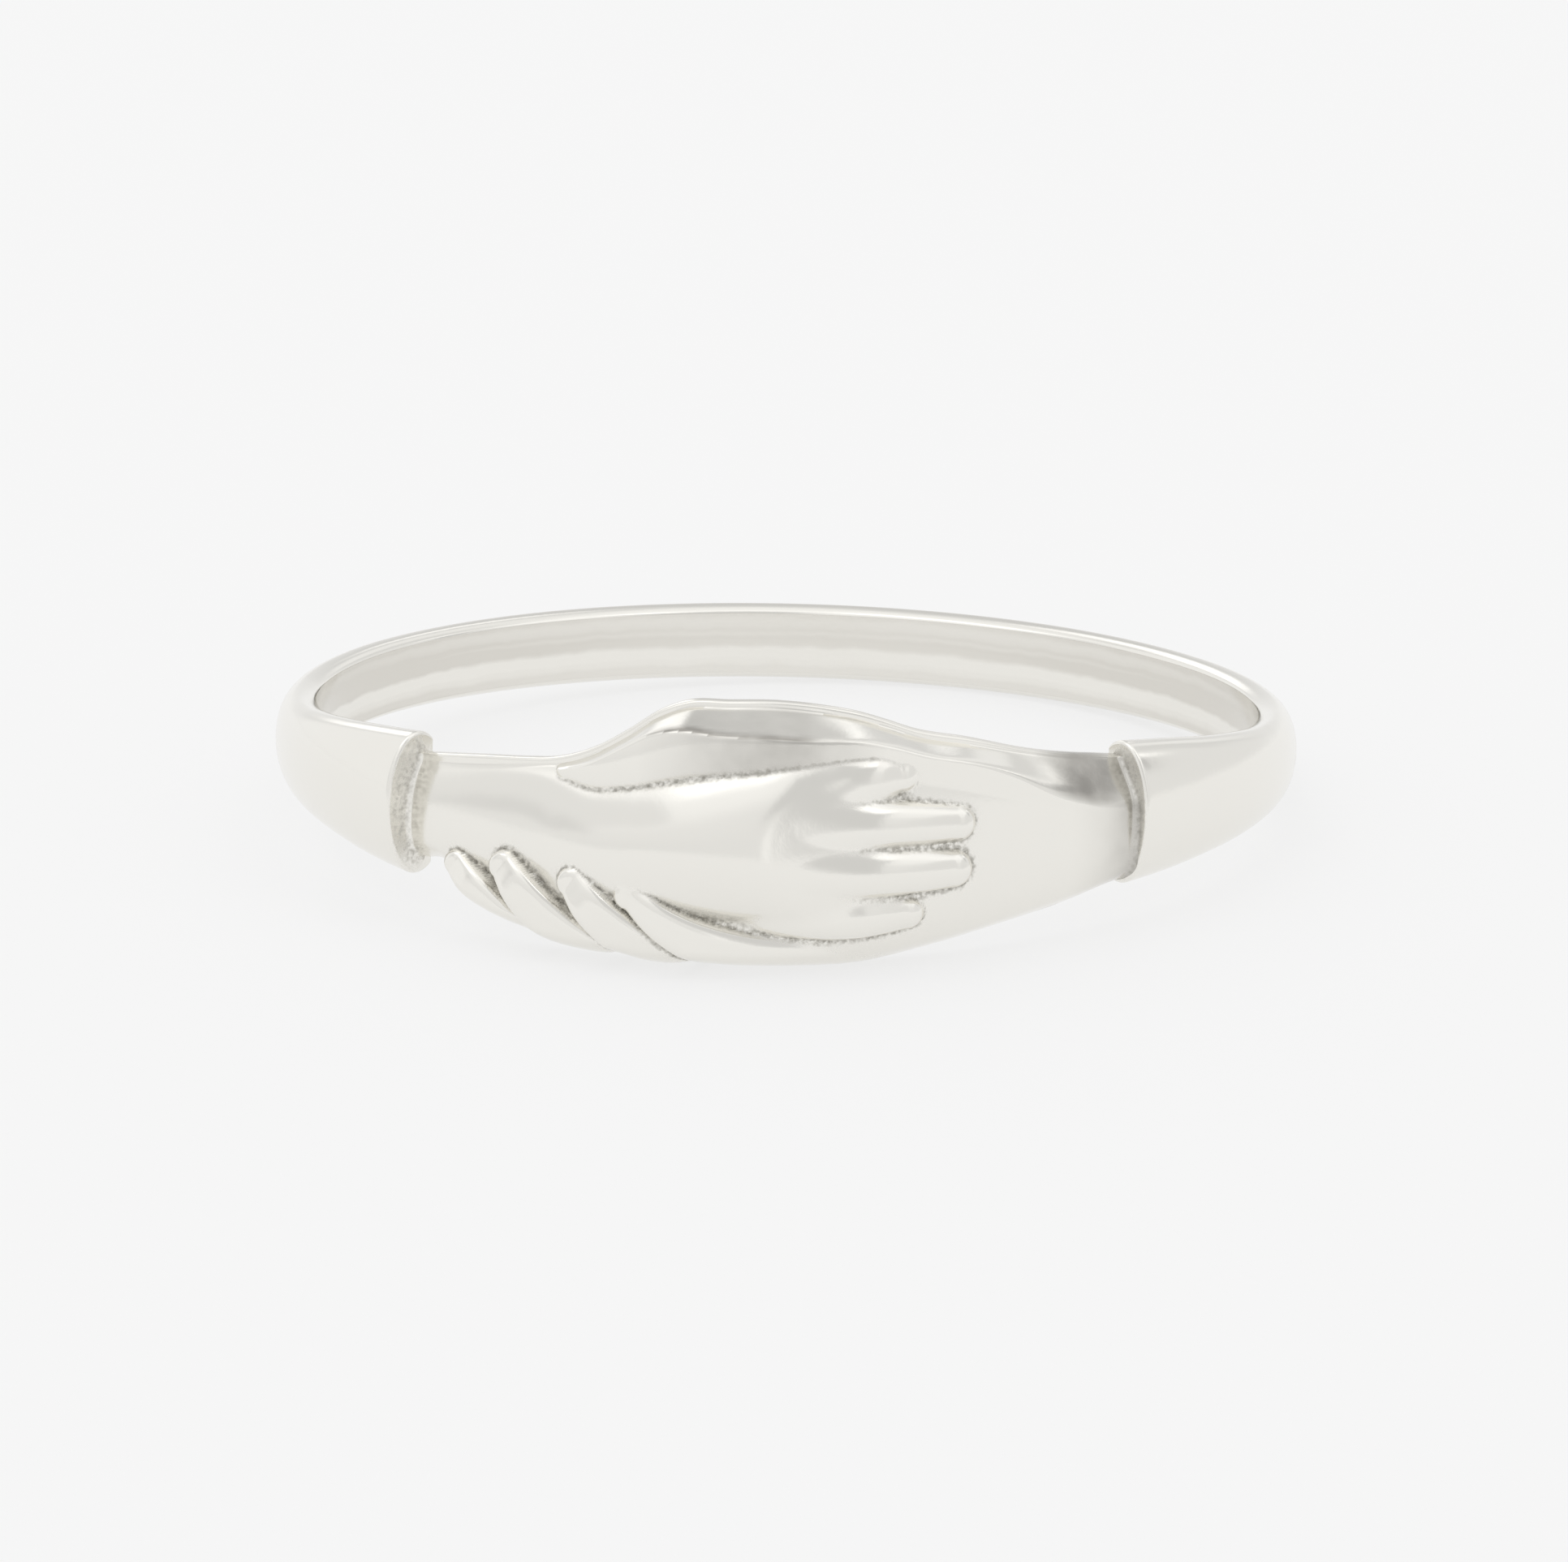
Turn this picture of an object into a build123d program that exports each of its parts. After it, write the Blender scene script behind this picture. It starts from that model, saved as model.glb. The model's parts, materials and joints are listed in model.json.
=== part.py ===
from build123d import *
import math
import os

import numpy as np
from scipy.spatial import ConvexHull

# A silver ring of two clasped hands, cast in one piece. A half-round hoop widens into two cuffs, and a right
# hand comes out of each cuff and holds the other over a thin plate that follows the finger. "Left" and
# "right" say on which side of the front a hand's cuff is.
# The ring is modelled about its own bore: Z runs along the finger, the hands are at the front, on -Y, and
# the back of the hoop is centred on Z = 0. At the end it is laid on its side, as it comes to rest on a table.

# Sizes, in millimetres
bore_diameter = 17.3
back_width = 1.42
back_thickness = 0.70
cuff_width = 2.62
cuff_thickness = 1.05
hoop_shoulder = 0.44
hands_height = 4.76
hands_thickness = 1.75
hands_rise = 0.31
plate_thickness = 0.28
plate_shoulder = 0.20
top_edge_round = 0.06
bottom_edge_round = 0.35
sleeve_depth = 0.40
bore_cutter_length = 20.0

# How far the hoop and the hands reach inside the bore before it is cut. The hands go deeper, so that no wall
# of theirs coincides with the hoop's where they are joined.
bore_allowance = 0.30
hands_allowance = bore_allowance + 0.15

# Angles, in degrees
cuff_angle = 44.5
shoulder_reach = 60.0
shoulder_start = 45.0

# Softness of the creases where two forms meet, in millimetres
knuckle_blend = 0.12
finger_blend = 0.05
thumb_blend = 0.12
grasp_blend = 0.05
ridge_blend = 0.14

# Facets of the hands, and how finely the ring is faceted to find how it lies
hand_columns = 104
hand_rows = 36
resting_tolerance = 0.01
resting_angle = 0.2

# Lengths along the hands are measured this share of their thickness over the bore, and a hand's back goes
# down to this share of the plate's thickness at its edges
measured_at = 1 / 3
foot_share = 1 / 3

bore_radius = bore_diameter / 2
hands_radius = bore_radius + hands_thickness * measured_at
half_length = hands_radius * math.radians(cuff_angle)
half_height = hands_height / 2
relief = hands_thickness - plate_thickness


def table(names, *rows):
    """A table as a dictionary of its named columns."""
    return dict(zip(names.split(), np.array(rows, float).T))


# The hoop from a cuff's lip (way 0) to the back (way 1). Width and thickness are shares of the step from the
# back's size to the cuff's, and the rises of its middle on the left and right are shares of hands_rise.
HOOP = table("way width thickness left_rise right_rise",
             (0.000, 1.00, 1.00, 0.20, 1.00),
             (0.055, 0.82, 0.80, 0.22, 0.97),
             (0.114, 0.60, 0.55, 0.22, 0.87),
             (0.159, 0.46, 0.38, 0.16, 0.77),
             (0.225, 0.27, 0.20, 0.06, 0.61),
             (0.336, 0.085, 0.05, 0.00, 0.42),
             (0.557, 0.00, 0.00, 0.00, 0.13),
             (0.779, 0.00, 0.00, 0.00, 0.02),
             (1.000, 0.00, 0.00, 0.00, 0.00))

# The clasp's outline. Along is a share of half_length from the front, positive to the right, and up is a
# share of half_height from the clasp's middle.
TOP_EDGE = table("along up",
                 (-1.00, 0.285), (-0.78, 0.367), (-0.635, 0.411), (-0.57, 0.435), (-0.511, 0.480),
                 (-0.433, 0.576), (-0.353, 0.720), (-0.268, 0.888), (-0.20, 0.967), (-0.088, 0.986),
                 (0.04, 0.994), (0.16, 0.962), (0.24, 0.921), (0.312, 0.860), (0.394, 0.780),
                 (0.543, 0.694), (0.708, 0.577), (0.829, 0.512), (0.942, 0.466), (1.00, 0.440))
BOTTOM_EDGE = table("along up",
                    (-1.00, -0.530), (-0.903, -0.513), (-0.831, -0.671), (-0.715, -0.818),
                    (-0.609, -0.905), (-0.53, -0.956), (-0.451, -0.991), (-0.386, -1.002),
                    (-0.344, -0.980), (-0.274, -1.018), (-0.212, -1.030), (-0.149, -1.000),
                    (-0.052, -1.005), (0.095, -1.005), (0.254, -0.985), (0.423, -0.897),
                    (0.632, -0.762), (0.837, -0.645), (0.95, -0.560), (1.00, -0.535))

# The backs of the two hands and their wrists: low and high edges as shares of half_height, and the crest
# between them as a share of the relief over the plate. The left hand lies over the right one.
LEFT_HAND = table("along low high crest",
                  (-1.00, -0.56, 0.27, 0.15), (-0.85, -0.56, 0.32, 0.17), (-0.70, -0.64, 0.37, 0.24),
                  (-0.56, -0.74, 0.41, 0.36), (-0.48, -0.78, 0.41, 0.48), (-0.40, -0.81, 0.42, 0.60),
                  (-0.30, -0.82, 0.50, 0.73), (-0.20, -0.82, 0.61, 0.87), (-0.06, -0.80, 0.74, 0.985),
                  (0.00, -0.79, 0.77, 0.985), (0.05, -0.79, 0.79, 0.955), (0.13, -0.79, 0.81, 0.90),
                  (0.20, -0.78, 0.80, 0.84), (0.27, -0.74, 0.74, 0.76), (0.33, -0.66, 0.60, 0.68),
                  (0.39, -0.44, 0.34, 0.62), (0.46, -0.36, 0.27, 0.50))
RIGHT_HAND = table("along low high crest",
                   (-0.90, -0.60, 0.20, -0.10), (-0.75, -0.80, 0.20, 0.02), (-0.50, -1.00, 0.30, 0.23),
                   (-0.30, -1.03, 0.50, 0.44), (-0.10, -1.03, 0.70, 0.61), (0.10, -1.03, 0.80, 0.63),
                   (0.30, -0.99, 0.78, 0.57), (0.45, -0.89, 0.74, 0.50), (0.64, -0.76, 0.62, 0.41),
                   (0.85, -0.63, 0.53, 0.34), (1.00, -0.55, 0.44, 0.33))

# The fingers, from root to tip or from tip to root: where each joint lies, half its width as a share of
# half_height, and its crest as a share of the relief.
FINGER = "along up half_width crest"
LEFT_FINGERS = {
    "index": table(FINGER, (-0.04, 0.36, 0.16, 0.40), (0.06, 0.42, 0.20, 0.68), (0.15, 0.455, 0.21, 0.80),
                   (0.24, 0.475, 0.20, 0.81), (0.29, 0.49, 0.18, 0.76), (0.335, 0.49, 0.145, 0.66)),
    "middle": table(FINGER, (-0.05, 0.14, 0.16, 0.70), (0.06, 0.15, 0.19, 0.85), (0.17, 0.15, 0.19, 0.89),
                    (0.28, 0.15, 0.18, 0.86), (0.38, 0.14, 0.165, 0.76), (0.475, 0.125, 0.145, 0.65)),
    "ring": table(FINGER, (-0.05, -0.19, 0.16, 0.70), (0.06, -0.20, 0.19, 0.85), (0.17, -0.205, 0.195, 0.89),
                  (0.28, -0.21, 0.19, 0.86), (0.38, -0.215, 0.175, 0.76), (0.465, -0.22, 0.15, 0.65)),
    "little": table(FINGER, (-0.20, -0.50, 0.15, 0.25), (-0.04, -0.53, 0.17, 0.55), (0.08, -0.55, 0.18, 0.72),
                    (0.18, -0.56, 0.18, 0.77), (0.25, -0.555, 0.17, 0.75), (0.31, -0.55, 0.15, 0.67),
                    (0.355, -0.545, 0.13, 0.60)),
}
RIGHT_FINGERS = {
    "index": table(FINGER, (-0.825, -0.47, 0.11, 0.28), (-0.775, -0.58, 0.14, 0.38),
                   (-0.68, -0.80, 0.155, 0.38), (-0.58, -1.02, 0.155, 0.24)),
    "middle": table(FINGER, (-0.655, -0.39, 0.12, 0.46), (-0.62, -0.49, 0.145, 0.54),
                    (-0.535, -0.72, 0.165, 0.54), (-0.43, -0.94, 0.17, 0.44), (-0.34, -1.10, 0.17, 0.28)),
    "ring": table(FINGER, (-0.45, -0.42, 0.12, 0.63), (-0.415, -0.53, 0.145, 0.71),
                  (-0.335, -0.75, 0.165, 0.68), (-0.235, -0.95, 0.17, 0.54), (-0.14, -1.10, 0.17, 0.36)),
    "little": table(FINGER, (-0.305, -0.47, 0.11, 0.68), (-0.255, -0.58, 0.145, 0.77),
                    (-0.16, -0.75, 0.175, 0.76), (-0.03, -0.87, 0.185, 0.66), (0.12, -0.90, 0.17, 0.52),
                    (0.28, -0.87, 0.16, 0.35), (0.42, -0.80, 0.15, 0.14)),
}
RIGHT_THUMB = table(FINGER, (-0.50, 0.40, 0.12, 0.22), (-0.43, 0.43, 0.18, 0.36), (-0.32, 0.53, 0.27, 0.47),
                    (-0.20, 0.66, 0.31, 0.58), (0.00, 0.72, 0.32, 0.65), (0.18, 0.72, 0.32, 0.62),
                    (0.36, 0.62, 0.28, 0.50), (0.55, 0.50, 0.26, 0.42), (0.75, 0.34, 0.26, 0.35),
                    (0.95, 0.20, 0.26, 0.30))

# How full each form's section is (2 is an ellipse) and how steeply a finger's sides fall
left_hand_fullness = 2.3
right_hand_fullness = 3.0
left_finger_fullness = 2.3
right_finger_fullness = 5.0
left_finger_steepness = 1.0
right_finger_steepness = 1.3
thumb_steepness = 0.55
outside_fall = 3.0

# How far the left hand leans back, as the drop of its thickness for each millimetre up, and how far under
# its middle that goes, in millimetres
left_lean = 0.12
lean_limit = 0.4

# How much further along the left hand's knuckles lie at its edges than at its middle, as a share of
# half_length
knuckle_arc = 0.55

# The bevel along the top of the clasp: how far under the edge it starts, as a share of half_height, how thick
# the plate is there, as a share of the relief, and its slope along the clasp
bevel_inset = 0.067
bevel_land = 0.054
BEVEL = table("along slope",
              (-1.00, 5.0), (-0.35, 5.0), (-0.20, 3.4), (-0.05, 2.8), (0.12, 2.8), (0.25, 4.0), (0.45, 3.8),
              (0.60, 2.2), (0.72, 1.1), (0.85, 0.70), (1.00, 0.65))


def smooth_curve(x, columns, along, name):
    """One column of a table as a smooth curve of another, by cubics whose slopes come from the neighbours."""
    xs = columns[along]
    ys = columns[name]
    slopes = np.gradient(ys, xs)
    x = np.clip(x, xs[0], xs[-1])
    i = np.clip(np.searchsorted(xs, x) - 1, 0, len(xs) - 2)
    step = xs[i + 1] - xs[i]
    t = (x - xs[i]) / step
    rising = t * t * (3 - 2 * t)
    tangents = t * (1 - t) ** 2 * slopes[i] - t * t * (1 - t) * slopes[i + 1]
    return ys[i] * (1 - rising) + ys[i + 1] * rising + step * tangents


def soft_max(a, b, blend):
    """The larger of two heights, with the crease between them rounded."""
    share = np.clip(0.5 + 0.5 * (a - b) / blend, 0, 1)
    return b + (a - b) * share + blend * share * (1 - share)


def soft_min(a, b, blend):
    """The smaller of two heights, with the ridge between them rounded."""
    return -soft_max(-a, -b, blend)


def superellipse(x, fullness):
    """Height of a rounded section of unit size at a distance x from its middle."""
    return np.clip(1 - np.minimum(x, 1) ** fullness, 0, 1) ** (1 / fullness)


def clasp_edge(s, columns):
    """Height of one edge of the clasp's outline at the length s round the front."""
    return hands_rise + half_height * smooth_curve(s / half_length, columns, "along", "up")


def hand_back(s, z, hand, fullness, arc=0):
    """Thickness of a hand's back and wrist over the bore: a rounded section between its low and high edges.
    The arc sets its crest further along by the square of the height off the middle."""
    u = s / half_length
    set_back = arc * ((z - hands_rise) / half_height) ** 2 * np.clip(1 - 2 * np.abs(u), 0, 1)
    low = hands_rise + half_height * smooth_curve(u, hand, "along", "low")
    high = hands_rise + half_height * smooth_curve(u, hand, "along", "high")
    crest = plate_thickness + relief * smooth_curve(u - set_back, hand, "along", "crest")
    foot = plate_thickness * foot_share
    off_middle = np.abs(2 * (z - low) / (high - low) - 1)
    past_ends = half_length * np.maximum(np.maximum(hand["along"][0] - u, u - hand["along"][-1]), 0)
    past_edges = (high - low) / 2 * np.maximum(off_middle - 1, 0)
    back = foot + (crest - foot) * superellipse(off_middle, fullness)
    return back - outside_fall * (past_edges + past_ends)


def finger(s, z, joints, steepness, fullness):
    """Thickness of a finger over the bore: a rounded bar along a smooth line through its joints, with round
    ends, measured along the straight line from its first joint to its last."""
    joint_s = half_length * joints["along"]
    joint_z = hands_rise + half_height * joints["up"]
    length = np.hypot(joint_s[-1] - joint_s[0], joint_z[-1] - joint_z[0])
    run = (joint_s[-1] - joint_s[0]) / length
    climb = (joint_z[-1] - joint_z[0]) / length
    bar = {
        "reach": (joint_s - joint_s[0]) * run + (joint_z - joint_z[0]) * climb,
        "bend": (joint_z - joint_z[0]) * run - (joint_s - joint_s[0]) * climb,
        "half_width": half_height * joints["half_width"],
        "crest": plate_thickness + relief * joints["crest"],
    }
    reach = (s - joint_s[0]) * run + (z - joint_z[0]) * climb
    side = (z - joint_z[0]) * run - (s - joint_s[0]) * climb
    half_width = smooth_curve(reach, bar, "reach", "half_width")
    past_ends = np.maximum(np.maximum(reach - length, -reach), 0)
    off_middle = np.hypot(side - smooth_curve(reach, bar, "reach", "bend"), past_ends) / half_width
    fall = outside_fall * np.maximum(off_middle - 1, 0)
    drop = steepness * (1 - superellipse(off_middle, fullness)) + fall
    return smooth_curve(reach, bar, "reach", "crest") - half_width * drop


def bevel(s, z):
    """Thickness on the bevel under the clasp's top edge: a slope that rises downwards from the plate."""
    slope = smooth_curve(s / half_length, BEVEL, "along", "slope")
    under_edge = clasp_edge(s, TOP_EDGE) - half_height * bevel_inset - z
    return plate_thickness + relief * bevel_land + slope * under_edge


def clasp_thickness(s, z):
    """Thickness of the clasp over the bore at the length s round the front and the height z."""
    right = hand_back(s, z, RIGHT_HAND, right_hand_fullness)
    right = soft_max(right, finger(s, z, RIGHT_THUMB, thumb_steepness, 2), thumb_blend)
    right = soft_min(right, bevel(s, z), ridge_blend)
    for joints in RIGHT_FINGERS.values():
        bar = finger(s, z, joints, right_finger_steepness, right_finger_fullness)
        right = soft_max(right, bar, finger_blend)
    left = hand_back(s, z, LEFT_HAND, left_hand_fullness, knuckle_arc)
    for joints in LEFT_FINGERS.values():
        bar = finger(s, z, joints, left_finger_steepness, left_finger_fullness)
        left = soft_max(left, bar, knuckle_blend)
    left = left - left_lean * soft_max(z - hands_rise, -lean_limit, lean_limit)
    return soft_max(soft_max(plate_thickness, right, grasp_blend), left, grasp_blend)


def ring_point(radius, angle, z):
    """Points at a radius and height, an angle in degrees round from the front."""
    turn = np.radians(angle)
    return np.stack(np.broadcast_arrays(radius * np.sin(turn), -radius * np.cos(turn), z), -1)


def crown(shoulder):
    """How far over the bore a shoulder of this radius ends, where it starts at the bore's edge."""
    return shoulder * math.sin(math.radians(shoulder_start))


def clasp_sections():
    """The clasp's closed sections as a grid of points, a row for each angle: over the outside from top to
    bottom, with an arc beside the bore at each end, and back inside the bore."""
    end_angle = cuff_angle + math.degrees(sleeve_depth / bore_radius)
    angle = np.linspace(-end_angle, end_angle, hand_columns)[:, None]
    s = hands_radius * np.radians(angle)
    top = clasp_edge(s, TOP_EDGE)
    bottom = clasp_edge(s, BOTTOM_EDGE)
    down = np.linspace(0, 1, hand_rows)[None, :]
    z = top + (bottom - top) * down
    plate_crown = crown(plate_shoulder)
    thickness = clasp_thickness(s, z)
    from_edge = np.where(down < 0.5, (top - z) / top_edge_round, (z - bottom) / bottom_edge_round)
    edge_round = np.sqrt(1 - (1 - np.clip(from_edge, 0, 1)) ** 2)
    outside = bore_radius + plate_crown + (thickness - plate_crown) * edge_round
    arc = np.radians(np.linspace(shoulder_reach, 0, 3)[None, :-1])
    arc_radius = bore_radius + plate_crown - plate_shoulder * np.sin(arc)
    arc_drop = plate_shoulder * (1 - np.cos(arc))
    inner = np.full((1, 1), bore_radius - hands_allowance)
    inner_drop = arc_drop[:, :1]
    radius = [inner, arc_radius, outside, arc_radius[:, ::-1], inner]
    height = [top - inner_drop, top - arc_drop, z, bottom + arc_drop[:, ::-1], bottom + inner_drop]
    radius = np.concatenate([np.broadcast_to(part, (hand_columns, part.shape[1])) for part in radius], 1)
    return ring_point(radius, angle, np.concatenate(height, 1))


def flat_face(points):
    """A flat face round the points."""
    return Face(Wire.make_polygon([Vector(*point) for point in points], close=True))


def make_hands():
    """The clasped hands and their plate as one closed body of triangles, reaching inside the bore."""
    grid = clasp_sections()
    columns, rows = grid.shape[:2]
    faces = [flat_face(grid[0]), flat_face(grid[-1])]
    for i in range(columns - 1):
        for j in range(rows):
            a, b, c, d = grid[i, j], grid[i + 1, j], grid[i + 1, (j + 1) % rows], grid[i, (j + 1) % rows]
            if np.linalg.norm(a - c) < np.linalg.norm(b - d):
                faces += [flat_face([a, b, c]), flat_face([a, c, d])]
            else:
                faces += [flat_face([a, b, d]), flat_face([b, c, d])]
    return Solid(Shell(faces))


def hoop_section(way, side):
    """A section of the hoop: flat inside, with a rounded shoulder each side of it and half an ellipse
    outside. Way runs from the cuff's lip to the back, and side is -1 on the left and 1 on the right."""
    rise = hands_rise * smooth_curve(way, HOOP, "way", "right_rise" if side > 0 else "left_rise")
    widening = smooth_curve(way, HOOP, "way", "width")
    thickening = smooth_curve(way, HOOP, "way", "thickness")
    half = (back_width + (cuff_width - back_width) * widening) / 2
    thickness = back_thickness + (cuff_thickness - back_thickness) * thickening
    hoop_crown = crown(hoop_shoulder)
    turn = math.radians(side * (cuff_angle + way * (180 - cuff_angle)))
    plane = Plane((0, 0, rise), x_dir=(math.sin(turn), -math.cos(turn), 0),
                  z_dir=(-math.cos(turn), -math.sin(turn), 0))

    def shoulder(degrees, up):
        reach = math.radians(degrees)
        return (bore_radius + hoop_crown - hoop_shoulder * math.sin(reach),
                up * (half - hoop_shoulder * (1 - math.cos(reach))))

    starts = {up: shoulder(shoulder_reach, up) for up in (1, -1)}
    inner = {up: (bore_radius - bore_allowance, starts[up][1]) for up in (1, -1)}
    wall = Line(inner[-1], inner[1])
    step_up = Line(inner[1], starts[1])
    arc_up = ThreePointArc(starts[1], shoulder(shoulder_reach / 2, 1), shoulder(0, 1))
    outside = EllipticalCenterArc((bore_radius + hoop_crown, 0), thickness - hoop_crown, half,
                                  start_angle=-90, arc_size=180)
    arc_down = ThreePointArc(shoulder(0, -1), shoulder(shoulder_reach / 2, -1), starts[-1])
    step_down = Line(starts[-1], inner[-1])
    return plane.from_local_coords(Wire([wall, step_up, arc_up, outside, arc_down, step_down]))


def make_hoop():
    """The hoop from lip to lip, lofted through its sections round the back."""
    left = [hoop_section(way, -1) for way in HOOP["way"]]
    right = [hoop_section(way, 1) for way in HOOP["way"][-2::-1]]
    return Solid.make_loft(left + right)


def resting_normal(ring):
    """The downward normal of the plane that the ring would come to rest on: of the planes that touch it
    from outside at three points, with its centre of mass over the triangle between them, the one that faces
    down most."""
    corners, _ = ring.tessellate(resting_tolerance, resting_angle)
    corners = np.array([tuple(corner) for corner in corners])
    centre = np.array(tuple(ring.center(CenterOf.MASS)))
    hull = ConvexHull(corners)
    stable = []
    for triangle, (*normal, offset) in zip(hull.simplices, hull.equations):
        normal = np.array(normal)
        foot = centre - (centre @ normal + offset) * normal
        a, b, c = corners[triangle]
        turns = [np.cross(q - p, foot - p) @ normal for p, q in ((a, b), (b, c), (c, a))]
        if min(turns) >= 0 or max(turns) <= 0:
            stable.append(normal)
    return min(stable, key=lambda normal: normal[2])


def lay_down(ring):
    """The ring tipped the little way that brings it to rest on its side, with its lowest point at Z = 0 and
    the middle of its box over the origin."""
    normal = resting_normal(ring)
    tilt = math.degrees(math.acos(-normal[2]))
    axis = Axis((0, 0, 0), tuple(np.cross(normal, (0, 0, -1))))
    ring = ring.rotate(axis, tilt)
    box = ring.bounding_box()
    middle = box.center()
    move = Vector(-middle.X, -middle.Y, -box.min.Z)
    print("tipped", tilt, "degrees; bore centre", move, "bore direction", Vector(0, 0, 1).rotate(axis, tilt))
    return ring.translate(move)


def make_ring():
    """The whole ring, one solid, with its bore cut true."""
    blank = make_hoop() + make_hands()
    return blank - Cylinder(bore_radius, bore_cutter_length)


clasped_hands_ring = lay_down(make_ring())
os.makedirs("parts", exist_ok=True)
export_step(clasped_hands_ring, "parts/clasped_hands_ring.step")
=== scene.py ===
"""A silver ring of two clasped hands, lying on a pale studio floor.

The ring is one casting, made here as one closed grid of points: columns go round the finger, and rows go
round the section. Everything is worked out in the ring's own space (millimetres, Z along the finger, the
hands on -Y) and then laid where the frame's finger bore is.
"""
import json
import math

import bpy
import numpy as np
from bpy.props import FloatProperty, FloatVectorProperty, IntProperty, PointerProperty, StringProperty
from mathutils import Matrix, Vector


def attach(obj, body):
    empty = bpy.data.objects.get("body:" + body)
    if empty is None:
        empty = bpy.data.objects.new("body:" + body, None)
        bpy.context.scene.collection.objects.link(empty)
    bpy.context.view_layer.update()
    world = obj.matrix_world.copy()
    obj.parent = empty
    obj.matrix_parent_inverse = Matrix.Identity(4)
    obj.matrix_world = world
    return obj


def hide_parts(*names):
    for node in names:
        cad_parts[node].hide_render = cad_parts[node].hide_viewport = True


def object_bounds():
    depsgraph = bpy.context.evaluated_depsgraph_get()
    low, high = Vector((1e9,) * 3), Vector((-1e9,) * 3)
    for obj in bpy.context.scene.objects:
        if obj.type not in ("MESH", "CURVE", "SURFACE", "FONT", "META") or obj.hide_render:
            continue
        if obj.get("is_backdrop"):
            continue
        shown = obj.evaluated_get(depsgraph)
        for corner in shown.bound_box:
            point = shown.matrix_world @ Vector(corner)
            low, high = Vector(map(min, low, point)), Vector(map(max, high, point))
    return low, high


bl_info = {
    "name": "Clasped Hands Ring",
    "version": (1, 0, 0),
    "blender": (4, 5, 0),
    "location": "View3D > Sidebar > Ring",
    "description": "Models a cast silver ring of two clasped hands and its studio",
    "category": "Object",
}

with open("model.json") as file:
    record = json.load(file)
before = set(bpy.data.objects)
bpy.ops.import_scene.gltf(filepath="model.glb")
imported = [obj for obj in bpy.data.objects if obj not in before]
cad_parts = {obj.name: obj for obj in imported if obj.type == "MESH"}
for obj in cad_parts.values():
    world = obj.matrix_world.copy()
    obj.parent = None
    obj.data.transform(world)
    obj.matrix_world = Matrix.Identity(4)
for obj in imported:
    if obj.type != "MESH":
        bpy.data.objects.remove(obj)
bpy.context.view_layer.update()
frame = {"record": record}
BORE = next(m for m in frame["record"]["mounts"] if m["kind"] == "bore")
NODE = "clasped_hands_ring"
MM = 0.001


def table(names, *rows):
    """A table as a dictionary of its named columns."""
    return dict(zip(names.split(), np.array(rows, float).T))


# The hoop from a cuff's lip (way 0) to the back (way 1). Width and thickness are shares of the step from the
# back's size to the cuff's, and the rises of its middle on the left and right are shares of the hands' rise.
HOOP = table("way width thickness left_rise right_rise",
             (0.000, 1.00, 1.00, 0.20, 1.00),
             (0.055, 0.82, 0.80, 0.22, 0.97),
             (0.114, 0.60, 0.55, 0.22, 0.87),
             (0.159, 0.46, 0.38, 0.16, 0.77),
             (0.225, 0.27, 0.20, 0.06, 0.61),
             (0.336, 0.085, 0.05, 0.00, 0.42),
             (0.557, 0.00, 0.00, 0.00, 0.13),
             (0.779, 0.00, 0.00, 0.00, 0.02),
             (1.000, 0.00, 0.00, 0.00, 0.00))

# The clasp's outline. Along is a share of the clasp's half length from the front, positive to the right, and
# up is a share of its half height.
TOP_EDGE = table("along up",
                 (-1.00, 0.285), (-0.78, 0.367), (-0.635, 0.411), (-0.57, 0.435), (-0.511, 0.480),
                 (-0.433, 0.576), (-0.353, 0.720), (-0.268, 0.888), (-0.20, 0.967), (-0.088, 0.986),
                 (0.04, 0.994), (0.16, 0.962), (0.24, 0.921), (0.312, 0.860), (0.394, 0.780),
                 (0.543, 0.694), (0.708, 0.577), (0.829, 0.512), (0.942, 0.466), (1.00, 0.440))
BOTTOM_EDGE = table("along up",
                    (-1.00, -0.530), (-0.903, -0.513), (-0.831, -0.671), (-0.715, -0.818),
                    (-0.609, -0.905), (-0.53, -0.956), (-0.451, -0.991), (-0.386, -1.002),
                    (-0.344, -0.980), (-0.274, -1.018), (-0.212, -1.030), (-0.149, -1.000),
                    (-0.052, -1.005), (0.095, -1.005), (0.254, -0.985), (0.423, -0.897),
                    (0.632, -0.762), (0.837, -0.645), (0.95, -0.560), (1.00, -0.535))

# The backs of the two hands and their wrists: low and high edges as shares of the half height, and the crest
# between them as a share of the relief over the plate. The left hand lies over the right one.
LEFT_HAND = table("along low high crest",
                  (-1.00, -0.56, 0.27, 0.15), (-0.85, -0.56, 0.32, 0.17), (-0.70, -0.64, 0.37, 0.24),
                  (-0.56, -0.74, 0.41, 0.36), (-0.48, -0.78, 0.41, 0.48), (-0.40, -0.81, 0.42, 0.60),
                  (-0.30, -0.82, 0.50, 0.73), (-0.20, -0.82, 0.61, 0.87), (-0.06, -0.80, 0.74, 0.985),
                  (0.00, -0.79, 0.77, 0.985), (0.05, -0.79, 0.79, 0.955), (0.13, -0.79, 0.81, 0.90),
                  (0.20, -0.78, 0.80, 0.84), (0.27, -0.74, 0.74, 0.76), (0.33, -0.66, 0.60, 0.68),
                  (0.39, -0.44, 0.34, 0.62), (0.46, -0.36, 0.27, 0.50))
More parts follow.
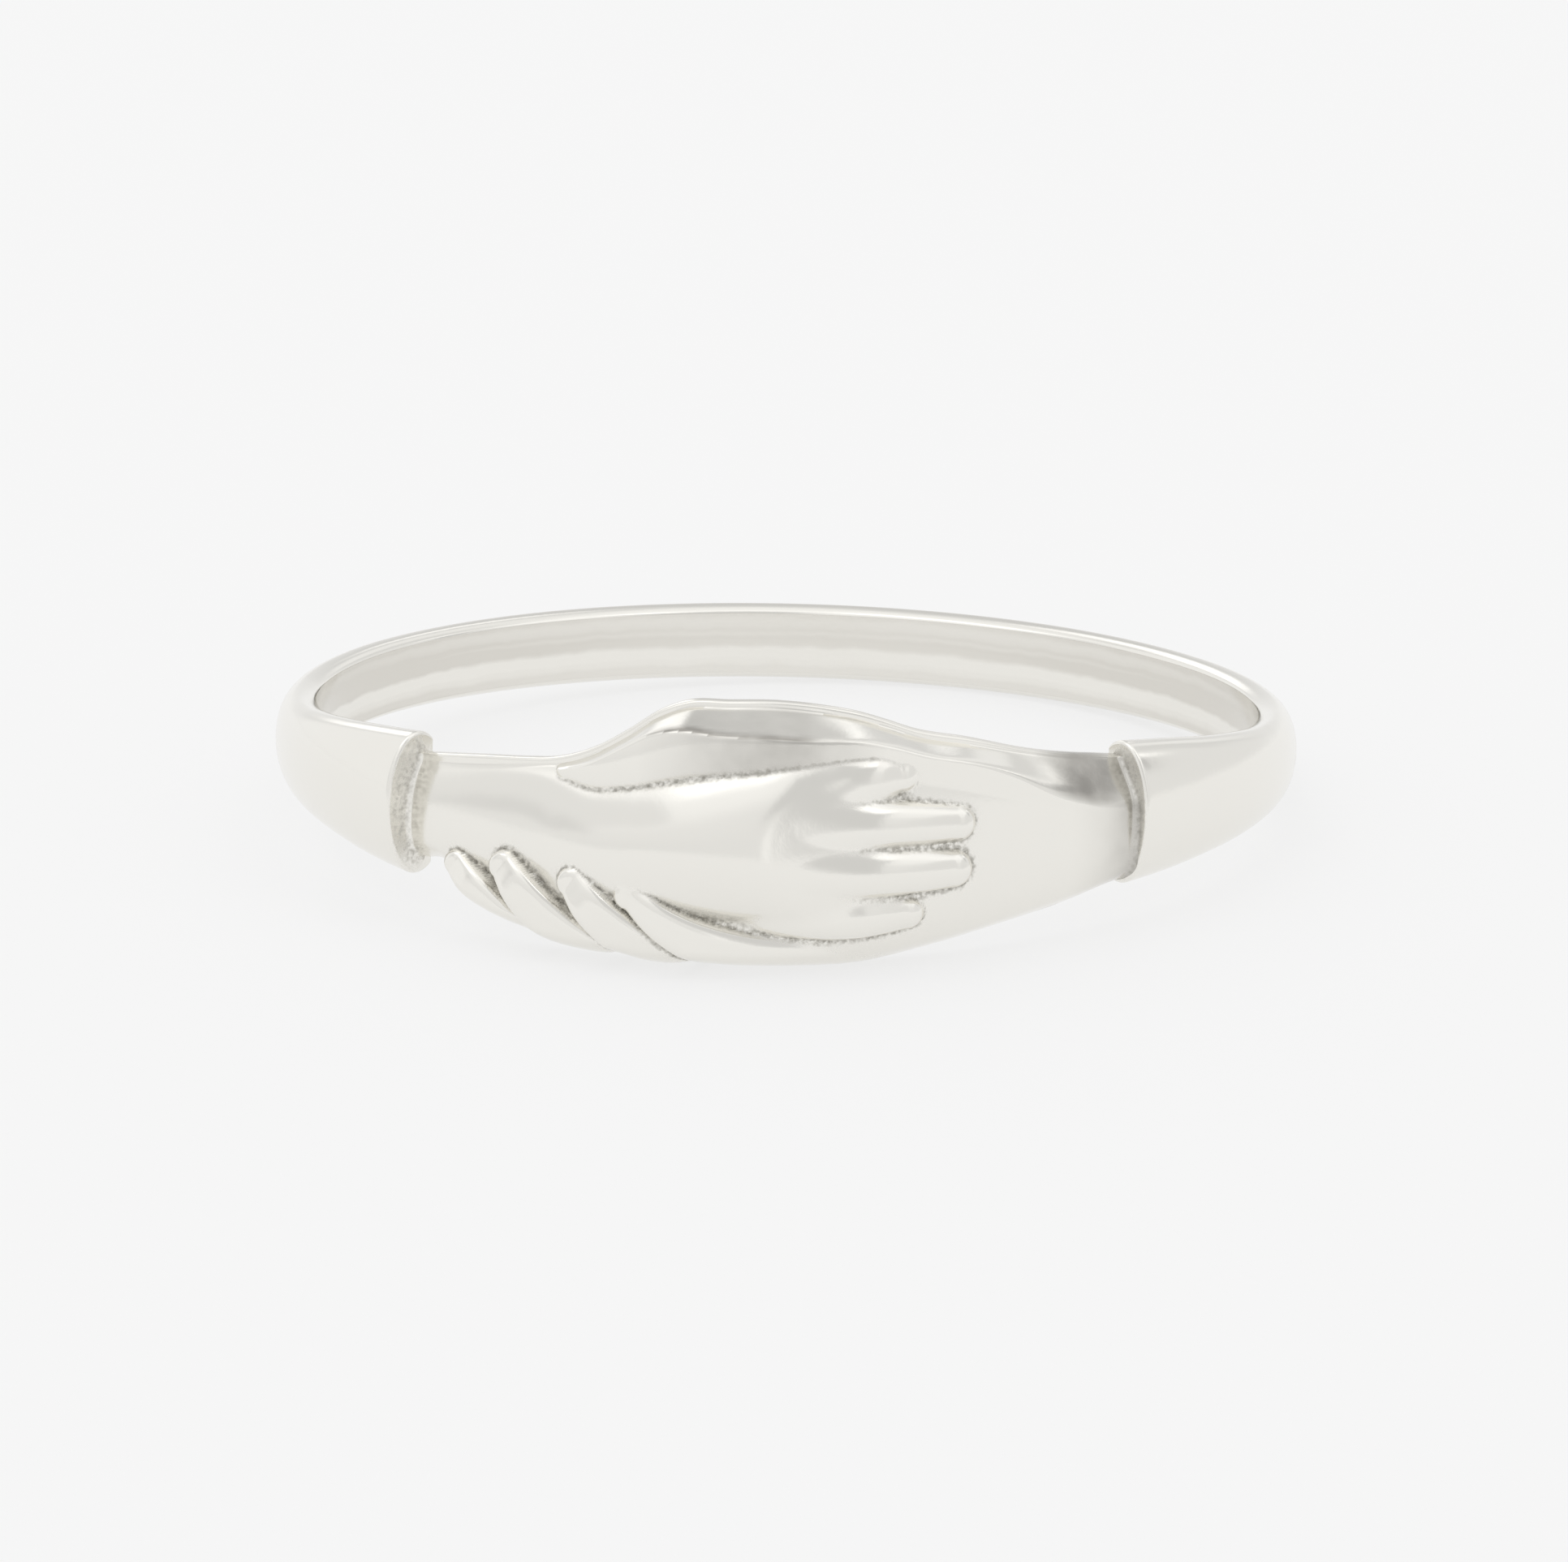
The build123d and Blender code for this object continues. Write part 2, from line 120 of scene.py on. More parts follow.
RIGHT_HAND = table("along low high crest",
                   (-0.90, -0.60, 0.20, -0.10), (-0.75, -0.80, 0.20, 0.02), (-0.50, -1.00, 0.30, 0.23),
                   (-0.30, -1.03, 0.50, 0.44), (-0.10, -1.03, 0.70, 0.61), (0.10, -1.03, 0.80, 0.63),
                   (0.30, -0.99, 0.78, 0.57), (0.45, -0.89, 0.74, 0.50), (0.64, -0.76, 0.62, 0.41),
                   (0.85, -0.63, 0.53, 0.34), (1.00, -0.55, 0.44, 0.33))

# The fingers, from root to tip or from tip to root: where each joint lies, half its width as a share of the
# half height, and its crest as a share of the relief.
FINGER = "along up half_width crest"
LEFT_FINGERS = {
    "index": table(FINGER, (-0.04, 0.36, 0.16, 0.40), (0.06, 0.42, 0.20, 0.68), (0.15, 0.455, 0.21, 0.80),
                   (0.24, 0.475, 0.20, 0.81), (0.29, 0.49, 0.18, 0.76), (0.335, 0.49, 0.145, 0.66)),
    "middle": table(FINGER, (-0.05, 0.14, 0.16, 0.70), (0.06, 0.15, 0.19, 0.85), (0.17, 0.15, 0.19, 0.89),
                    (0.28, 0.15, 0.18, 0.86), (0.38, 0.14, 0.165, 0.76), (0.475, 0.125, 0.145, 0.65)),
    "ring": table(FINGER, (-0.05, -0.19, 0.16, 0.70), (0.06, -0.20, 0.19, 0.85), (0.17, -0.205, 0.195, 0.89),
                  (0.28, -0.21, 0.19, 0.86), (0.38, -0.215, 0.175, 0.76), (0.465, -0.22, 0.15, 0.65)),
    "little": table(FINGER, (-0.20, -0.50, 0.15, 0.25), (-0.04, -0.53, 0.17, 0.55), (0.08, -0.55, 0.18, 0.72),
                    (0.18, -0.56, 0.18, 0.77), (0.25, -0.555, 0.17, 0.75), (0.31, -0.55, 0.15, 0.67),
                    (0.355, -0.545, 0.13, 0.60)),
}
RIGHT_FINGERS = {
    "index": table(FINGER, (-0.825, -0.47, 0.11, 0.28), (-0.775, -0.58, 0.14, 0.38),
                   (-0.68, -0.80, 0.155, 0.38), (-0.58, -1.02, 0.155, 0.24)),
    "middle": table(FINGER, (-0.655, -0.39, 0.12, 0.46), (-0.62, -0.49, 0.145, 0.54),
                    (-0.535, -0.72, 0.165, 0.54), (-0.43, -0.94, 0.17, 0.44), (-0.34, -1.10, 0.17, 0.28)),
    "ring": table(FINGER, (-0.45, -0.42, 0.12, 0.63), (-0.415, -0.53, 0.145, 0.71),
                  (-0.335, -0.75, 0.165, 0.68), (-0.235, -0.95, 0.17, 0.54), (-0.14, -1.10, 0.17, 0.36)),
    "little": table(FINGER, (-0.305, -0.47, 0.11, 0.68), (-0.255, -0.58, 0.145, 0.77),
                    (-0.16, -0.75, 0.175, 0.76), (-0.03, -0.87, 0.185, 0.66), (0.12, -0.90, 0.17, 0.52),
                    (0.28, -0.87, 0.16, 0.35), (0.42, -0.80, 0.15, 0.14)),
}
RIGHT_THUMB = table(FINGER, (-0.50, 0.40, 0.12, 0.22), (-0.43, 0.43, 0.18, 0.36), (-0.32, 0.53, 0.27, 0.47),
                    (-0.20, 0.66, 0.31, 0.58), (0.00, 0.72, 0.32, 0.65), (0.18, 0.72, 0.32, 0.62),
                    (0.36, 0.62, 0.28, 0.50), (0.55, 0.50, 0.26, 0.42), (0.75, 0.34, 0.26, 0.35),
                    (0.95, 0.20, 0.26, 0.30))

# How full each form's section is (2 is an ellipse) and how steeply a finger's sides fall
LEFT_HAND_FULLNESS = 2.3
RIGHT_HAND_FULLNESS = 3.0
LEFT_FINGER_FULLNESS = 2.3
RIGHT_FINGER_FULLNESS = 5.0
LEFT_FINGER_STEEPNESS = 1.0
RIGHT_FINGER_STEEPNESS = 1.3
THUMB_STEEPNESS = 0.55
OUTSIDE_FALL = 3.0

# How far the left hand leans back, as the drop of its thickness for each millimetre up, and how far under its
# middle that goes, in millimetres
LEFT_LEAN = 0.12
LEAN_LIMIT = 0.4

# The bevel along the top of the clasp: how far under the edge it starts, as a share of the half height, how
# thick the plate is there, as a share of the relief, and its slope along the clasp
BEVEL_INSET = 0.067
BEVEL_LAND = 0.054
BEVEL = table("along slope",
              (-1.00, 5.0), (-0.35, 5.0), (-0.20, 3.4), (-0.05, 2.8), (0.12, 2.8), (0.25, 4.0), (0.45, 3.8),
              (0.60, 2.2), (0.72, 1.1), (0.85, 0.70), (1.00, 0.65))

# How much painted dark reflection, grey standing in for darker surroundings mirrored there, the bevel, the
# thumb under it, the right hand's back and the ridge between bevel and thumb get along the clasp: 0 is
# polished and 1 is full grey
PAINTED_REFLECTION = table("along bevel thumb back ridge",
                 (-1.00, 0.0, 0.0, 0.0, 0.0), (-0.30, 0.0, 0.0, 0.0, 0.0), (-0.24, 0.2, 0.1, 0.0, 1.0),
                 (-0.05, 0.3, 0.5, 0.0, 1.0), (0.10, 0.3, 0.6, 0.0, 1.0), (0.16, 0.1, 0.4, 0.0, 0.0),
                 (0.30, 0.0, 0.0, 0.0, 0.0), (0.72, 0.0, 0.0, 0.0, 0.0), (0.79, 0.8, 0.0, 0.0, 0.0),
                 (0.92, 0.8, 0.0, 0.3, 0.0), (1.00, 0.3, 0.0, 0.8, 0.0))

# How much further along the knuckles lie at a hand's edge than at its middle, as a share of the half length
KNUCKLE_ARC = 0.55

# Softness of the creases where two forms meet, in millimetres
KNUCKLE_BLEND = 0.12
FINGER_BLEND = 0.05
THUMB_BLEND = 0.12
GRASP_BLEND = 0.05
RIDGE_BLEND = 0.14

# Where a shoulder beside the bore starts, in degrees of its circle
SHOULDER_START = 45

# Lengths along the hands are measured this share of their thickness over the bore, and a hand's back goes
# down to this share of the plate's thickness at its edges
MEASURED_AT = 1 / 3
FOOT_SHARE = 1 / 3

# How much of the rows' spacing over the hands is even, and how much is drawn close at the edges
EVEN_ROWS = 0.75
EDGE_ROWS = 0.25

# Rows up the bore's wall, as shares of its height, and columns on a lip's rounding and just past it, in
# millimetres
WALL_ROWS = (0.01, 0.25, 0.5, 0.75, 0.99)
LIP_COLUMNS = 9
PAST_LIP = (0.25, 0.5, 0.8)

# Brightness of the light tent by how far up a direction is turned, in degrees from the front horizon over the
# top and down behind
LIGHT_TENT = table("turn brightness",
                   (0, 0.84), (30, 0.88), (60, 1.00), (90, 1.10), (115, 0.98), (132, 0.75), (142, 0.66),
                   (158, 0.66), (168, 0.78), (180, 0.90))

# Soft boxes and grey cards in the tent: from and to which turn in degrees and how far sideways (-1 is left
# and 1 is right) each one reaches, and its brightness
CARDS = table("turn_from turn_to side_from side_to brightness",
              (128, 162, -0.36, -0.20, 1.20),
              (138, 165, -0.44, -0.24, 1.35),
              (138, 158, 0.11, 0.18, 1.28),
              (120, 168, 0.24, 0.42, 0.92),
              (110, 180, -1.10, -0.48, 0.95),
              (110, 180, 0.48, 1.10, 0.84),
              (130, 160, 0.44, 0.60, 0.76),
              (4, 110, 0.80, 1.10, 0.82),
              (110, 126, 0.76, 0.92, 0.56),
              (118, 134, 0.67, 0.75, 1.25),
              (45, 104, -1.10, -0.70, 0.85),
              (76, 100, -0.60, -0.10, 1.40),
              (4, 70, 0.27, 0.58, 0.70),
              (22, 74, 0.00, 0.29, 0.70),
              (-6, 12, 0.17, 0.23, 1.15),
              (66, 86, 0.35, 0.53, 1.35),
              (34, 62, -1.10, -0.92, 0.74))

# Where the relief round a point is looked at to tell how deep in a crease the point lies, in millimetres
TARNISH_AND_SHADE_REACHES = (0.06, 0.14, 0.26)

# How fast the crease tarnish and the painted crease shade round it gather with that depth and the most of
# them, and how far under the clasp's top edge they start, in millimetres; at twice that they are full
TARNISH_AND_SHADE_GAIN = 1.5
TARNISH_AND_SHADE_MOST = 0.55
TARNISH_AND_SHADE_MARGIN = 0.20

# How much tarnish and painted corner shade a wrist has at the foot of its cuff's lip, and how much tarnish
# and painted shade the lip itself has
FOOT_TARNISH_AND_SHADE = 0.36
LIP_TARNISH_AND_SHADE = 0.20

# How near a form's own height the relief has to be to get its painted dark reflection, in millimetres, how
# much past full that paint is on the form itself, and how near the bevel and the thumb are to each other on
# the ridge
PAINTED_REFLECTION_EDGE = 0.06
PAINTED_REFLECTION_CORE = 1.3
RIDGE_LINE = 0.18

# How much stronger the lines round the bore are at the sides than at the back, which makes the bore darker
# towards the sides
SIDE_STREAKING = 1.3

# How the fine pits break up the crease tarnish and painted shade: the gain and offset that turn their noise
# into specks, and the strengths between which a speck goes from clean to the full crease colour and up to
# which it roughens
SPECK_GAIN = 2.4
SPECK_OFFSET = -0.55
TARNISH_AND_SHADE_FROM = 0.13
TARNISH_AND_SHADE_TO = 0.56
ROUGH_TO = 0.3

# Patches that vary the painted dark reflection: their size as a multiple of a pit's, the noise they lie
# between and their least
PATCH_SIZE = 6
PATCH_FROM = 0.3
PATCH_TO = 0.7
PATCH_LEAST = 0.7

# Lines worn round the bore: how far they wander with the patches, and the noise that they lie between
LINE_DRIFT = 0.12
LINE_FROM = 0.35
LINE_TO = 0.75

# Height of the polish's waves and of the pits, in millimetres, how strong the waves are, and how much of the
# pits a clean face keeps
WAVE_HEIGHT = 0.02
PIT_HEIGHT = 0.03
WAVE_STRENGTH = 0.35
CLEAN_PITS = 0.05

# An edge sharper than this isn't smoothed over, in degrees
SHARP_ANGLE = 50

# The floor's half width, as a multiple of the camera's distance
FLOOR_REACH = 20


class RingSizes(bpy.types.PropertyGroup):
    """Sizes of the casting, in millimetres and degrees."""
    bore_diameter: FloatProperty(name="Bore", description="Inside diameter, the finger size",
                                 default=2 * BORE["dims"]["r_mm"], min=12, max=25)
    back_width: FloatProperty(name="Back width", description="Width of the hoop at the back",
                              default=1.42, min=0.5, max=4)
    back_thickness: FloatProperty(name="Back thickness", description="Thickness of the hoop at the back",
                                  default=0.70, min=0.3, max=3)
    cuff_width: FloatProperty(name="Cuff width", description="Width of each cuff at its lip",
                              default=2.62, min=1, max=6)
    cuff_thickness: FloatProperty(name="Cuff thickness", description="Thickness of each cuff at its lip",
                                  default=1.05, min=0.3, max=3)
    cuff_angle: FloatProperty(name="Cuff angle", description="From the front to each cuff's lip, in degrees",
                              default=44.5, min=20, max=80)
    hoop_shoulder: FloatProperty(name="Hoop shoulder",
                                 description="Radius of the hoop's edge beside the bore",
                                 default=0.44, min=0.05, max=1)
    hands_height: FloatProperty(name="Hands height", description="Size of the clasp along the finger",
                                default=4.76, min=2, max=10)
    hands_thickness: FloatProperty(name="Hands thickness", description="Over the bore, at the knuckles",
                                   default=1.75, min=0.8, max=5)
    hands_rise: FloatProperty(name="Hands rise", description="Of the clasp's middle over the hoop's back",
                              default=0.31, min=-1, max=1)
    plate_thickness: FloatProperty(name="Plate thickness", description="Of the plate behind the hands",
                                   default=0.28, min=0.1, max=1)
    plate_shoulder: FloatProperty(name="Plate shoulder", description="Radius of the plate's edge at the bore",
                                  default=0.20, min=0.02, max=1)
    top_edge_round: FloatProperty(name="Top edge", description="Rounding of the clasp's upper edge",
                                  default=0.06, min=0.01, max=0.5)
    bottom_edge_round: FloatProperty(name="Bottom edge", description="Rounding of the clasp's lower edge",
                                     default=0.35, min=0.01, max=1)
    lip_round: FloatProperty(name="Lip", description="Rounding of the cuffs' lips",
                             default=0.08, min=0.01, max=0.4)
    lip_fillet: FloatProperty(name="Lip fillet", description="Hollow between a wrist and its cuff's lip",
                              default=0.11, min=0.01, max=0.4)
    hand_columns: IntProperty(name="Hand columns", description="Columns of points along the hands",
                              default=420, min=40, max=900)
    hoop_columns: IntProperty(name="Hoop columns", description="Columns of points round the hoop",
                              default=120, min=24, max=600)
    rows: IntProperty(name="Rows", description="Rows of points over the outside of the section",
                      default=140, min=20, max=400)


class SilverFinish(bpy.types.PropertyGroup):
    """Colours and gloss of the polished silver, with the colours of its crease tarnish and painted shade and
    of its painted dark reflection.
    """
    clean: StringProperty(name="Clean silver", description="sRGB hex colour of polished silver",
                          default="F1EFE9")
    # The crease colour stands both for tarnish left in the creases and for painted shade in and around them
    tarnish_and_shade_colour: StringProperty(name="Tarnish", description="sRGB hex colour of the silver in the creases",
                            default="A6A39B")
    # The grey painted on the bevel, the thumb, the ridge and the right wrist in place of darker surroundings
    # mirrored there
    painted_dark_reflection: StringProperty(name="Dull silver", description="sRGB hex colour of the dull bevel",
                         default="AAA7A1")
    worn: StringProperty(name="Worn silver", description="sRGB hex colour of the lines worn round the bore",
                         default="DEDBD4")
    line_size: FloatProperty(name="Line size",
                             description="Width of the lines worn round the bore, in millimetres",
                             default=0.45, min=0.05, max=5)
    roughness: FloatProperty(name="Roughness", description="Of the polished faces",
                             default=0.16, min=0, max=1, subtype="FACTOR")
    crease_roughness: FloatProperty(name="Crease roughness", description="Of the tarnished creases",
                                    default=0.55, min=0, max=1, subtype="FACTOR")
    wave_size: FloatProperty(name="Wave size", description="Size of the hand polish's waves, in millimetres",
                             default=1.1, min=0.1, max=5)
    grain_size: FloatProperty(name="Grain size",
                              description="Size of the casting's fine pits, in millimetres",
                              default=0.09, min=0.02, max=1)


class StudioSettings(bpy.types.PropertyGroup):
    """The camera, the floor and the light round the ring."""
    camera_distance: FloatProperty(name="Camera distance", description="From the ring's centre",
                                   default=0.250, min=0.05, max=2, unit="LENGTH")
    elevation: FloatProperty(name="Elevation", description="Of the camera over the plane of the hoop",
                             default=math.radians(12.4), subtype="ANGLE")
    azimuth: FloatProperty(name="Azimuth", description="Of the camera to the right of the clasp",
                           default=math.radians(2.65), subtype="ANGLE")
    roll: FloatProperty(name="Roll", description="Of the ring in the picture, clockwise",
                        default=math.radians(1.3), subtype="ANGLE")
    view_width: FloatProperty(name="View width", description="Width of the picture at the ring's centre",
                              default=1932 / 67.05 * MM, min=0.005, max=1, unit="LENGTH")
    view_offset: FloatVectorProperty(name="View offset", size=2, unit="LENGTH",
                                     description="Of the ring's centre from the picture's, right and up",
                                     default=(3 / 67.05 * MM, 49 / 67.05 * MM))
    floor_colour: StringProperty(name="Floor", description="sRGB hex colour of the floor", default="888888")
    floor_glow: FloatProperty(name="Floor glow", description="Light that comes through the floor",
                              default=0.68, min=0, max=5)
    light: FloatProperty(name="Light", description="Strength of the light tent", default=1.0, min=0, max=10)
    card_edge: FloatProperty(name="Card edge", description="Softness of the edges of the boxes and cards",
                             default=0.04, min=0.001, max=0.5)


def smooth_curve(x, columns, along, name):
    """One column of a table as a smooth curve of another: a cubic between each two rows, whose slope at a row
    is that from the row before it to the row after it."""
    xs = columns[along]
    ys = columns[name]
    slopes = np.gradient(ys, xs)
    x = np.clip(x, xs[0], xs[-1])
    i = np.clip(np.searchsorted(xs, x) - 1, 0, len(xs) - 2)
    step = xs[i + 1] - xs[i]
    t = (x - xs[i]) / step
    rising = t * t * (3 - 2 * t)
    tangents = t * (1 - t) ** 2 * slopes[i] - t * t * (1 - t) * slopes[i + 1]
    return ys[i] * (1 - rising) + ys[i + 1] * rising + step * tangents


def soft_max(a, b, blend):
    """The larger of two heights; within the blend of each other they join by a parabola."""
    share = np.clip(0.5 + 0.5 * (a - b) / blend, 0, 1)
    return b + (a - b) * share + blend * share * (1 - share)


def soft_min(a, b, blend):
    """The smaller of two heights, joined the same way."""
    return -soft_max(-a, -b, blend)


def superellipse(x, fullness):
    """Height of a rounded section of unit size: one minus x to the power of the fullness, and its root."""
    return np.clip(1 - np.minimum(x, 1) ** fullness, 0, 1) ** (1 / fullness)


class Clasp:
    """The relief of the two hands: thickness over the bore as a function of the length s round the front and
    the height z, in millimetres."""

    def __init__(self, sizes):
        self.rise = sizes.hands_rise
        self.plate = sizes.plate_thickness
        self.relief = sizes.hands_thickness - sizes.plate_thickness
        self.radius = sizes.bore_diameter / 2 + sizes.hands_thickness * MEASURED_AT
        self.half_length = self.radius * math.radians(sizes.cuff_angle)
        self.half_height = sizes.hands_height / 2

    def edge(self, s, columns):
        """Height of one edge of the outline."""
        return self.rise + self.half_height * smooth_curve(s / self.half_length, columns, "along", "up")

    def hand_back(self, s, z, hand, fullness, arc=0):
        """A hand's back and wrist: a superellipse between its low and high edges, falling away past them. The
        arc sets its crest further along by the square of the height off the middle."""
        u = s / self.half_length
        set_back = arc * ((z - self.rise) / self.half_height) ** 2 * np.clip(1 - 2 * np.abs(u), 0, 1)
        low = self.rise + self.half_height * smooth_curve(u, hand, "along", "low")
        high = self.rise + self.half_height * smooth_curve(u, hand, "along", "high")
        crest = self.plate + self.relief * smooth_curve(u - set_back, hand, "along", "crest")
        foot = self.plate * FOOT_SHARE
        off_middle = np.abs(2 * (z - low) / (high - low) - 1)
        past_ends = self.half_length * np.maximum(np.maximum(hand["along"][0] - u, u - hand["along"][-1]), 0)
        past_edges = (high - low) / 2 * np.maximum(off_middle - 1, 0)
        fall = OUTSIDE_FALL * (past_edges + past_ends)
        return foot + (crest - foot) * superellipse(off_middle, fullness) - fall

    def finger(self, s, z, joints, steepness, fullness):
        """A finger: a superellipse across a smooth line through its joints, with round ends. Reach is
        measured along the straight line from the first joint to the last, and the joints' bend is off it."""
        joint_s = self.half_length * joints["along"]
        joint_z = self.rise + self.half_height * joints["up"]
        length = np.hypot(joint_s[-1] - joint_s[0], joint_z[-1] - joint_z[0])
        run = (joint_s[-1] - joint_s[0]) / length
        climb = (joint_z[-1] - joint_z[0]) / length
        bar = {
            "reach": (joint_s - joint_s[0]) * run + (joint_z - joint_z[0]) * climb,
            "bend": (joint_z - joint_z[0]) * run - (joint_s - joint_s[0]) * climb,
            "half_width": self.half_height * joints["half_width"],
            "crest": self.plate + self.relief * joints["crest"],
        }
        reach = (s - joint_s[0]) * run + (z - joint_z[0]) * climb
        side = (z - joint_z[0]) * run - (s - joint_s[0]) * climb
        half_width = smooth_curve(reach, bar, "reach", "half_width")
        past_ends = np.maximum(np.maximum(reach - length, -reach), 0)
        off_middle = np.hypot(side - smooth_curve(reach, bar, "reach", "bend"), past_ends) / half_width
        fall = OUTSIDE_FALL * np.maximum(off_middle - 1, 0)
        drop = steepness * (1 - superellipse(off_middle, fullness)) + fall
        return smooth_curve(reach, bar, "reach", "crest") - half_width * drop

    def bevel(self, s, z):
        """The bevel under the clasp's top edge: a slope that rises downwards from the plate's land."""
        slope = smooth_curve(s / self.half_length, BEVEL, "along", "slope")
        under_edge = self.edge(s, TOP_EDGE) - self.half_height * BEVEL_INSET - z
        return self.plate + self.relief * BEVEL_LAND + slope * under_edge

    def thickness(self, s, z):
        """The whole relief: the highest of the plate, the right hand and the left hand, softly joined."""
        right = self.hand_back(s, z, RIGHT_HAND, RIGHT_HAND_FULLNESS)
        right = soft_max(right, self.finger(s, z, RIGHT_THUMB, THUMB_STEEPNESS, 2), THUMB_BLEND)
        right = soft_min(right, self.bevel(s, z), RIDGE_BLEND)
        for joints in RIGHT_FINGERS.values():
            bar = self.finger(s, z, joints, RIGHT_FINGER_STEEPNESS, RIGHT_FINGER_FULLNESS)
            right = soft_max(right, bar, FINGER_BLEND)
        left = self.hand_back(s, z, LEFT_HAND, LEFT_HAND_FULLNESS, KNUCKLE_ARC)
        for joints in LEFT_FINGERS.values():
            bar = self.finger(s, z, joints, LEFT_FINGER_STEEPNESS, LEFT_FINGER_FULLNESS)
            left = soft_max(left, bar, KNUCKLE_BLEND)
        left = left - LEFT_LEAN * soft_max(z - self.rise, -LEAN_LIMIT, LEAN_LIMIT)
        return soft_max(soft_max(self.plate, right, GRASP_BLEND), left, GRASP_BLEND)

    def skin(self, s, z):
        """How much crease tarnish and painted crease shade each point gets, from 0 to 1: how much higher the
        relief is on average all round it, over how far off that is looked at."""
        here = self.thickness(s, z)
        depth = 0 * here
        for reach in TARNISH_AND_SHADE_REACHES:
            for turn in np.radians(np.arange(0, 360, 45)):
                there = self.thickness(s + reach * math.cos(turn), z + reach * math.sin(turn))
                depth += (there - here) / reach / 8 / len(TARNISH_AND_SHADE_REACHES)
        under_edge = np.clip((self.edge(s, TOP_EDGE) - z) / TARNISH_AND_SHADE_MARGIN - 1, 0, 1)
        return np.clip(TARNISH_AND_SHADE_GAIN * depth, 0, TARNISH_AND_SHADE_MOST) * under_edge

    def dark_reflection_paint(self, s, z):
        """How much painted dark reflection each point has: that of the form whose height the relief follows
        there.
        The ridge is where the relief follows the bevel and the thumb is near the same height, and it gets a
        painted dark line."""
        here = self.thickness(s, z)
        bevel = self.bevel(s, z)
        thumb = self.finger(s, z, RIGHT_THUMB, THUMB_STEEPNESS, 2)
        back = self.hand_back(s, z, RIGHT_HAND, RIGHT_HAND_FULLNESS)
        off_bevel = np.abs(here - bevel) > PAINTED_REFLECTION_EDGE
        ridge = here + np.abs(bevel - thumb) * PAINTED_REFLECTION_EDGE / RIDGE_LINE + 2 * PAINTED_REFLECTION_EDGE * off_bevel
        painted_dark_reflection = 0 * here
        for name, form in (("bevel", bevel), ("thumb", thumb), ("back", back), ("ridge", ridge)):
            on_form = np.clip(PAINTED_REFLECTION_CORE - np.abs(here - form) / PAINTED_REFLECTION_EDGE, 0, 1)
            painted_dark_reflection = np.maximum(painted_dark_reflection, smooth_curve(s / self.half_length, PAINTED_REFLECTION, "along", name) * on_form)
        return painted_dark_reflection


def section_angles(sizes):
    """Angles of the columns in degrees from the front: even along the hands, close at the cuffs' lips, and
    even round the hoop."""
    hands = np.linspace(-sizes.cuff_angle, sizes.cuff_angle, sizes.hand_columns)
    millimetre = math.degrees(2 / sizes.bore_diameter)
    round_lip = 1 - np.cos(np.linspace(0, 0.5, LIP_COLUMNS) * math.pi)
    lip = millimetre * np.concatenate([[1e-4], sizes.lip_round * round_lip[1:], PAST_LIP])
    start = sizes.cuff_angle + lip[-1]
    hoop = np.linspace(start, 360 - start, sizes.hoop_columns + 2)[1:-1]
    return np.concatenate([hands, sizes.cuff_angle + lip, hoop, 360 - sizes.cuff_angle - lip[::-1]])


def hoop_sections(sizes, angle, down):
    """Half width, thickness and middle of the hoop at each angle, and its outside: half an ellipse over the
    shoulders. At a lip the section shrinks by a quarter circle."""
    from_front = np.minimum(angle, 360 - angle)
    way = np.clip((from_front - sizes.cuff_angle) / (180 - sizes.cuff_angle), 0, 1)
    left = smooth_curve(way, HOOP, "way", "left_rise")
    right = smooth_curve(way, HOOP, "way", "right_rise")
    middle = sizes.hands_rise * np.where(angle > 180, left, right)
    width = smooth_curve(way, HOOP, "way", "width")
    thickness = smooth_curve(way, HOOP, "way", "thickness")
    from_lip = np.radians(from_front - sizes.cuff_angle) * sizes.bore_diameter / 2 / sizes.lip_round
    shrink = sizes.lip_round * (1 - np.sqrt(1 - np.clip(1 - from_lip, 0, 1) ** 2))
    half = (sizes.back_width + (sizes.cuff_width - sizes.back_width) * width) / 2 - shrink
    thickness = sizes.back_thickness + (sizes.cuff_thickness - sizes.back_thickness) * thickness - shrink
    crown = sizes.hoop_shoulder * math.sin(math.radians(SHOULDER_START))
    turn = math.pi * (0.5 - down)
    outside = crown + (thickness - crown) * np.cos(turn)
    # The lip's rounding and end face get some tarnish and painted shade
    skin = LIP_TARNISH_AND_SHADE * np.clip(1 - 2 * from_lip, 0, 1) + 0 * outside
    return middle + half, middle - half, middle + half * np.sin(turn), outside, skin, 0 * outside


